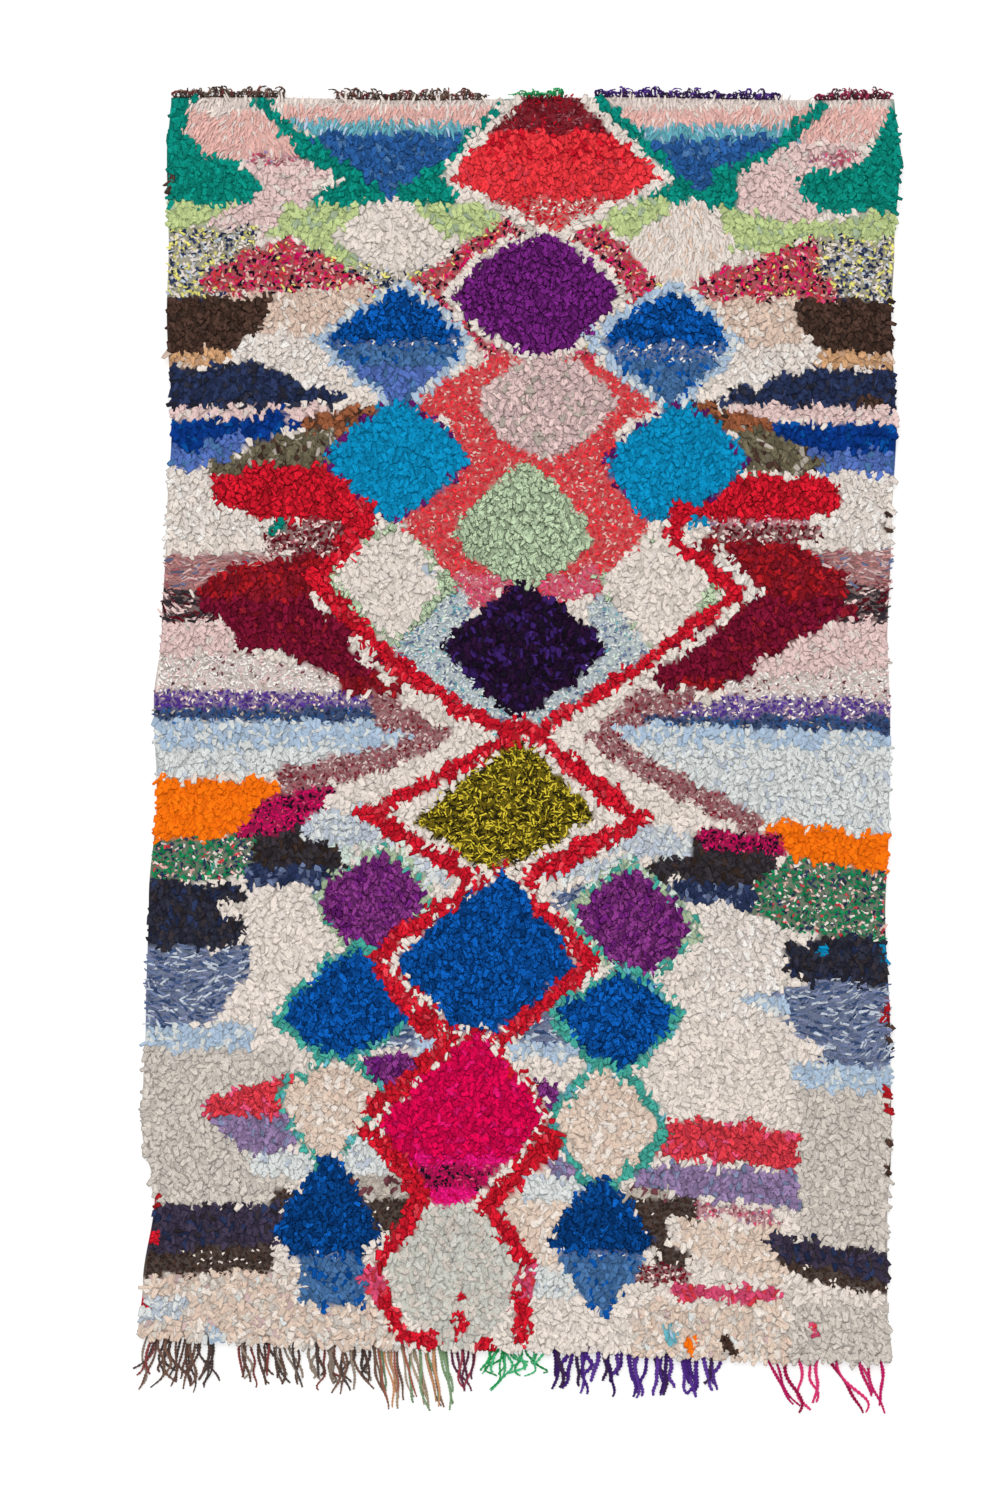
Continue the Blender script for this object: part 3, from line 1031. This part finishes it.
def build_pile(shift, materials, rng):
    """The whole pile, sort by sort, cut into meshes of a fair size."""
    made = []
    for sort in SORTS:
        x, y = knot_places(sort, rng)
        turn = lean_turn(x, y, *SORTS[sort][8:10], rng)
        reach = SORTS[sort][5] / 1000.0
        x = inside_sides(x, y, np.cos(turn) * reach, rng)
        y = inside_ends(x, y, np.sin(turn) * reach, rng)
        seen_x = x + np.cos(turn) * reach * SEEN_REACH
        seen_y = y + np.sin(turn) * reach * SEEN_REACH
        chart = charted(seen_x, seen_y, np.random.default_rng(SEED), 1.0)
        wanted = np.array([YARNS[name][0] == sort for name in YARN_NAMES])[chart]
        x, y, turn, chart = x[wanted], y[wanted], turn[wanted], chart[wanted]
        if not len(x):
            continue
        colours = dyed(chart, rng)
        light = colours.mean(axis=1, keepdims=True)
        spread = DYE_SPREAD * (1.0 - light) ** 2 + 0.04
        colours *= 1.0 + spread * rng.uniform(-1.0, 1.0, (len(x), 1))
        root = np.stack((x + shift[0], y + shift[1], KNOT_HEIGHT + swell(x, y)), 1)
        creasing = np.array([CREASING.get(name, 1.0) for name in YARN_NAMES])[chart]
        colours *= 1.0 + CREASE_LOSS * (creasing[:, None] - 1.0)
        parts = math.ceil(len(x) / PIECE_LOCKS)
        for number, part in enumerate(np.array_split(np.arange(len(x)), parts), 1):
            name = f"pile_{sort}_{number}"
            args = root[part], turn[part], np.clip(colours[part], 0.0, 0.96), creasing[part]
            made.append(build_locks(name, sort, *args, materials[sort], rng))
    return made


def build_ground(shift, material):
    """The woven ground: one closed cloth under the pile, with the pattern on its back."""
    columns = int(GROUND_WIDTH / GROUND_CELL)
    rows = int(FIELD_LENGTH / GROUND_CELL)
    down, across = np.meshgrid(
        np.linspace(0.0, 1.0, rows + 1), np.linspace(0.0, 1.0, columns + 1), indexing="ij"
    )
    inside = GROUND_INSET + (1.0 - 2.0 * GROUND_INSET) * down
    x, y = field_point(across.ravel(), inside.ravel())
    inset = np.minimum(np.minimum(across, 1.0 - across) * 1.5, np.minimum(down, 1.0 - down) * 2.5)
    packed = np.clip(inset.ravel() / GROUND_CELL, 0.0, 1.0)
    height = GROUND_RIM + (GROUND_INSIDE - GROUND_RIM) * packed
    lumps = np.random.default_rng(SEED).uniform(-GROUND_LUMP, GROUND_LUMP, x.shape)
    height += packed * (swell(x, y) + lumps)
    top = np.stack((x + shift[0], y + shift[1], height), 1)
    low = top * (1.0, 1.0, 0.0)
    number = np.arange((rows + 1) * (columns + 1)).reshape(rows + 1, columns + 1)
    quads = np.stack((number[:-1, :-1], number[1:, :-1], number[1:, 1:], number[:-1, 1:]), -1)
    upper = quads.reshape(-1, 4)
    under = upper[:, ::-1] + number.size
    rim = np.concatenate((number[:-1, 0], number[-1, :-1], number[:0:-1, -1], number[0, :0:-1]))
    after = np.roll(rim, -1)
    wall = np.stack((rim, rim + number.size, after + number.size, after), 1)
    faces = np.concatenate((upper, under, wall))
    plane = np.stack((across.ravel() * 0.46, down.ravel() * 0.96), 1) + 0.02
    step = np.arange(len(rim) + 1) / len(rim)
    strip = np.stack((step[:-1], step[:-1], step[1:], step[1:]), 1) * 0.96 + 0.02
    side = np.stack((np.full(len(rim), 0.490), np.full(len(rim), 0.505)), 1)[:, (0, 1, 1, 0)]
    maps = plane[upper], plane[upper[:, ::-1]] + (0.5, 0.0), np.stack((side, strip), -1)
    uvs = np.concatenate([part.reshape(-1, 2) for part in maps])
    chart = charted(x, y, np.random.default_rng(SEED), 0.6)
    tint = packed_dye(chart)
    mesh = new_mesh(
        "ground_cloth",
        np.concatenate((top, low)),
        faces.ravel(),
        np.full(len(faces), 4),
        np.concatenate((tint, tint)),
        None,
        uvs,
        False,
    )
    return link(mesh, "ground_cloth", material)


def yarn_path(start, outward, length, lean, meet, layer, tangle, rng):
    """Points of one loose yarn on the floor, from the edge to its end."""
    share = np.linspace(0.0, 1.0, 20)
    wave = rng.uniform(-0.007, 0.007) * tangle * np.sin(math.pi * share * rng.uniform(1.0, 2.4))
    late = rng.uniform(-0.005, 0.005) * tangle * np.sin(math.tau * share * rng.uniform(0.8, 2.0))
    hook = rng.uniform(-0.009, 0.009) * tangle * share**3
    pull = (meet - start[0] - lean) * share**1.3 * rng.uniform(0.5, 1.0)
    x = start[0] + lean * share**1.4 + wave + late * share + pull + hook
    back = rng.uniform(0.0, 0.008) * tangle * share**4
    y = start[1] + outward * (length * share - back)
    z = WARP_REST + layer * LAYER_RISE * np.sin(math.pi * share)
    return np.stack((x, y, z), 1)


def loop_path(start, outward, height, lean, rng):
    """Points of one small clipped loop at the top edge."""
    share = np.linspace(0.0, 1.0, 8)
    width = rng.uniform(-0.008, 0.008)
    drop = rng.uniform(-0.009, 0.009)
    x = start[0] + (lean + drop) * share + width * np.sin(math.pi * share * 1.4)
    y = start[1] + outward * height * np.sin(math.pi * share * rng.uniform(0.45, 0.85))
    z = 0.004 + rng.uniform(0.004, 0.014) * np.sin(math.pi * share)
    return np.stack((x, y, z), 1)


def plied(path, radius, turns, plies, sides, taper):
    """Points and faces of a twisted yarn: round plies that wind about the path."""
    tangent = np.gradient(path, axis=0)
    tangent /= np.linalg.norm(tangent, axis=1)[:, None]
    flat = np.cross(tangent, (0.0, 0.0, 1.0))
    flat /= np.linalg.norm(flat, axis=1)[:, None]
    upright = np.cross(flat, tangent)
    share = np.linspace(0.0, 1.0, len(path))
    thin = 1.0 - taper * share**3
    ply_radius = radius * PLY_RADIUS
    points, faces = [], []
    for ply in range(plies):
        wind = math.tau * (turns * share + ply / plies)
        spin = flat * np.cos(wind)[:, None] + upright * np.sin(wind)[:, None]
        centre = path + spin * (radius * PLY_OFFSET * thin)[:, None]
        around = math.tau * np.arange(sides) / sides
        ring = (
            flat[:, None, :] * np.cos(around)[None, :, None]
            + upright[:, None, :] * np.sin(around)[None, :, None]
        )
        first = sum(len(block) for block in points)
        points.append((centre[:, None, :] + ring * (ply_radius * thin)[:, None, None]).reshape(-1, 3))
        for step in range(len(path) - 1):
            for side in range(sides):
                low, after = first + step * sides, (side + 1) % sides
                faces.append((low + side, low + after, low + sides + after, low + sides + side))
        faces.append(tuple(first + side for side in reversed(range(sides))))
        last = first + (len(path) - 1) * sides
        faces.append(tuple(last + side for side in range(sides)))
    return np.concatenate(points), faces


def mesh_of_yarns(name, yarns, material):
    """Joins yarns, each its points, faces and colour, into one mesh."""
    points, loops, counts, colours = [], [], [], []
    first = 0
    for own_points, own_faces, colour in yarns:
        own = own_points.copy()
        own[:, 2] += max(0.0, FLOOR_GAP - own[:, 2].min())
        points.append(own)
        loops.extend(first + corner for face in own_faces for corner in face)
        counts.extend(len(face) for face in own_faces)
        colours.append(np.tile(colour, (len(own), 1)))
        first += len(own)
    arrays = np.concatenate(points), np.array(loops), np.array(counts), np.concatenate(colours)
    return link(new_mesh(name, *arrays, None, None, True), name, material)


def build_fringe(group, shift, material, rng):
    """One group of long warp ends, which gather in bundles towards their tips."""
    node, _, start, end, count, shortest, longest, lean, colours, radius, tangle = group
    yarns = []
    bundles = max(1, round(count / BUNDLE_YARNS))
    splay = np.linspace(-0.008, 0.008, bundles) * tangle + rng.uniform(-0.008, 0.008, bundles)
    for number in range(count):
        x = start + (end - start) * (number + rng.uniform(0.2, 0.8)) / count
        bundle = min(bundles - 1, number * bundles // count)
        meet = start + (end - start) * (bundle + 0.5) / bundles + lean + splay[bundle]
        meet += rng.uniform(-0.007, 0.007)
        length = rng.uniform(shortest, longest)
        turns = length * WARP_TURNS
        place = (x + shift[0], bottom_edge(x) + WARP_TUCK + shift[1])
        length += WARP_TUCK
        path = yarn_path(place, -1.0, length, lean, meet + shift[0], number % 3, tangle, rng)
        own = linear(colours[rng.integers(len(colours))]) * rng.uniform(0.85, 1.2)
        points, faces = plied(path, radius * rng.uniform(0.8, 1.15), turns, 2, 5, 0.35)
        yarns.append((points, faces, own))
    return mesh_of_yarns(node + "_yarns", yarns, material)


def build_stubs(group, shift, material, rng):
    """One group of short clipped warp loops along the top edge."""
    node, _, start, end, count, shortest, longest, lean, colours = group
    yarns = []
    for number in range(count):
        x = start + (end - start) * (number + rng.uniform(0.1, 0.9)) / count
        place = (x + shift[0], top_edge(x) - LOOP_TUCK + shift[1])
        clump = 0.65 + 0.55 * math.sin(CLUMPS_PER_METRE * math.tau * x + 3.0 * math.sin(37.0 * x))
        height = max(0.002, clump * rng.uniform(shortest, longest)) + 0.006
        path = loop_path(place, 1.0, height, lean, rng)
        own = linear(colours[rng.integers(len(colours))]) * rng.uniform(0.8, 1.3)
        points, faces = plied(path, rng.uniform(0.0018, 0.0030), 1.6, 2, 3, 0.5)
        yarns.append((points, faces, own))
    return mesh_of_yarns(node + "_yarns", yarns, material)


def node_of(nodes, kind, operation="", **values):
    """A shader node with its operation and the given socket values set."""
    made = nodes.new(kind)
    if operation:
        made.operation = operation
    for socket, value in values.items():
        made.inputs[socket.replace("_", " ")].default_value = value
    return made


def yarn_material(name, roughness, sheen, grain, depth, folds, dark, rim):
    """Matt yarn that takes its colour from the knots, with creases, dark rims and a fibre grain."""
    material = bpy.data.materials.new(name)
    material.use_nodes = True
    nodes, links = material.node_tree.nodes, material.node_tree.links
    shader = nodes["Principled BSDF"]
    shader.inputs["Roughness"].default_value = roughness
    shader.inputs["Sheen Weight"].default_value = sheen
    shader.inputs["Specular IOR Level"].default_value = SPECULAR
    dye = nodes.new("ShaderNodeAttribute")
    dye.attribute_name = "dye"
    strip = nodes.new("ShaderNodeAttribute")
    strip.attribute_name = "strip"
    place = nodes.new("ShaderNodeTexCoord")
    fibre = node_of(nodes, "ShaderNodeTexNoise", Scale=grain, Detail=3.0)
    links.new(place.outputs["Object"], fibre.inputs["Vector"])
    fold = node_of(nodes, "ShaderNodeTexNoise", Scale=folds, Detail=1.0, Distortion=1.0)
    crease = nodes.new("ShaderNodeMapRange")
    off_middle = node_of(nodes, "ShaderNodeMath", "SUBTRACT")
    off_middle.inputs[1].default_value = 0.5
    away = node_of(nodes, "ShaderNodeMath", "ABSOLUTE")
    links.new(fold.outputs["Fac"], off_middle.inputs[0])
    links.new(off_middle.outputs["Value"], away.inputs[0])
    links.new(away.outputs["Value"], crease.inputs["Value"])
    lift = nodes.new("ShaderNodeMapRange")
    links.new(fibre.outputs["Fac"], lift.inputs["Value"])
    ranges = [(lift, 0.3, 0.7, 0.92, 1.06), (crease, 0.0, CREASE_WIDTH, dark, 1.0)]
    factors = [lift.outputs["Result"], crease.outputs["Result"]]
    if rim < 1.0:
        links.new(strip.outputs["Vector"], fold.inputs["Vector"])
        parts = nodes.new("ShaderNodeSeparateXYZ")
        links.new(strip.outputs["Vector"], parts.inputs["Vector"])
        beside = node_of(nodes, "ShaderNodeMath", "ABSOLUTE")
        links.new(parts.outputs["X"], beside.inputs[0])
        for source, start in ((beside.outputs["Value"], 0.70), (parts.outputs["Y"], 0.88)):
            shadow = nodes.new("ShaderNodeMapRange")
            links.new(source, shadow.inputs["Value"])
            ranges.append((shadow, start, 1.0, 1.0, rim))
            factors.append(shadow.outputs["Result"])
    else:
        links.new(place.outputs["Object"], fold.inputs["Vector"])
    for node, *limits in ranges:
        for socket, value in zip(("From Min", "From Max", "To Min", "To Max"), limits):
            node.inputs[socket].default_value = value
    shade = factors[0]
    for factor in factors[1:]:
        product = node_of(nodes, "ShaderNodeMath", "MULTIPLY")
        links.new(shade, product.inputs[0])
        links.new(factor, product.inputs[1])
        shade = product.outputs["Value"]
    deeper = node_of(nodes, "ShaderNodeMath", "POWER")
    links.new(shade, deeper.inputs[0])
    links.new(dye.outputs["Alpha"], deeper.inputs[1])
    shaded = node_of(nodes, "ShaderNodeVectorMath", "SCALE")
    links.new(dye.outputs["Color"], shaded.inputs[0])
    links.new(deeper.outputs["Value"], shaded.inputs["Scale"])
    links.new(shaded.outputs["Vector"], shader.inputs["Base Color"])
    bump = node_of(nodes, "ShaderNodeBump", Strength=0.5, Distance=depth)
    links.new(fibre.outputs["Fac"], bump.inputs["Height"])
    links.new(bump.outputs["Normal"], shader.inputs["Normal"])
    return material


def build_floor():
    """A white floor that runs out of the picture."""
    bpy.ops.mesh.primitive_plane_add(size=14.0, location=(0.0, 0.0, 0.0))
    floor = bpy.context.object
    floor.name = "floor"
    material = bpy.data.materials.new("floor_white")
    material.use_nodes = True
    shader = material.node_tree.nodes["Principled BSDF"]
    shader.inputs["Base Color"].default_value = (FLOOR_GREY, FLOOR_GREY, FLOOR_GREY, 1.0)
    shader.inputs["Emission Color"].default_value = (1.0, 1.0, 1.0, 1.0)
    shader.inputs["Emission Strength"].default_value = FLOOR_GLOW
    shader.inputs["Roughness"].default_value = 0.95
    shader.inputs["Specular IOR Level"].default_value = 0.0
    floor.data.materials.append(material)


def build_light():
    """Soft light from above, a little stronger from the rug's top edge."""
    world = bpy.data.worlds.new("room")
    bpy.context.scene.world = world
    world.use_nodes = True
    background = world.node_tree.nodes["Background"]
    background.inputs["Color"].default_value = (1.0, 1.0, 1.0, 1.0)
    background.inputs["Strength"].default_value = SKY_STRENGTH
    sun = bpy.data.lights.new("window", "SUN")
    sun.energy = SUN_ENERGY
    sun.angle = math.radians(SUN_ANGLE)
    sun.color = (1.0, 0.985, 0.96)
    lamp = bpy.data.objects.new("window", sun)
    lamp.rotation_euler = (math.radians(SUN_TILT[0]), math.radians(SUN_TILT[1]), 0.0)
    bpy.context.scene.collection.objects.link(lamp)


def build_camera(shift):
    """A long lens straight over the rug."""
    data = bpy.data.cameras.new("overhead")
    data.lens = LENS_MM
    data.sensor_width = SENSOR_MM
    camera = bpy.data.objects.new("overhead", data)
    height = VIEW_HEIGHT * LENS_MM / SENSOR_MM
    camera.location = (VIEW_CENTRE[0] + shift[0], VIEW_CENTRE[1] + shift[1], height)
    bpy.context.scene.collection.objects.link(camera)
    bpy.context.scene.camera = camera


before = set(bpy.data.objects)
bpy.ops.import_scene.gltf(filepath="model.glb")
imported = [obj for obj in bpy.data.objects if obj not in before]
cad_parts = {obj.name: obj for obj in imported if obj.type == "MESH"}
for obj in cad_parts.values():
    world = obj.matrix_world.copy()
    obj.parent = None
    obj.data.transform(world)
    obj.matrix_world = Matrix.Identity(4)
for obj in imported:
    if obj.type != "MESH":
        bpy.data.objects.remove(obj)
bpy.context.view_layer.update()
shift = loom_shift()
rng = np.random.default_rng(SEED)

# Columns: name, roughness, sheen, grain, depth in metres, folds, and how dark creases and rims are.
pile_materials = {
    "rag": yarn_material("rag_jersey", 0.85, 0.0, 150.0, 0.0020, 2.6, 0.42, 0.50),
    "ruffle": yarn_material("rag_cotton", 0.88, 0.0, 150.0, 0.0020, 2.4, 0.55, 0.55),
    "wool": yarn_material("wool_yarn", 0.92, 0.05, 420.0, 0.0020, 80.0, 0.80, 1.0),
    "shred": yarn_material("shredded_rag", 0.88, 0.0, 320.0, 0.0020, 90.0, 0.72, 1.0),
    "tuft": yarn_material("mixed_rag", 0.88, 0.0, 320.0, 0.0020, 120.0, 0.80, 1.0),
    "chip": yarn_material("cut_rag", 0.88, 0.0, 320.0, 0.0020, 120.0, 0.80, 1.0),
    "lurex": yarn_material("lurex_thread", 0.38, 0.0, 500.0, 0.0010, 200.0, 0.80, 1.0),
}
warp_material = yarn_material("warp_wool", 0.9, 0.05, 520.0, 0.0010, 200.0, 0.90, 1.0)
ground_material = yarn_material("ground_weave", 0.92, 0.04, 300.0, 0.0020, 60.0, 0.60, 1.0)

ground = build_ground(shift, ground_material)
pile = build_pile(shift, pile_materials, rng)
ends = []
for group in FRINGE_GROUPS:
    yarns = build_fringe(group, shift, warp_material, rng)
    ends.append((yarns, group))
for group in STUB_GROUPS:
    yarns = build_stubs(group, shift, warp_material, rng)
    ends.append((yarns, group))

for piece in [ground, *pile]:
    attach(piece, "root")
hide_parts("pile_field")
for piece, group in ends:
    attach(piece, "root")
    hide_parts(group[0])

build_floor()
build_light()
build_camera(shift)
bpy.context.scene.view_settings.view_transform = "Standard"
bpy.context.scene.view_settings.look = "None"
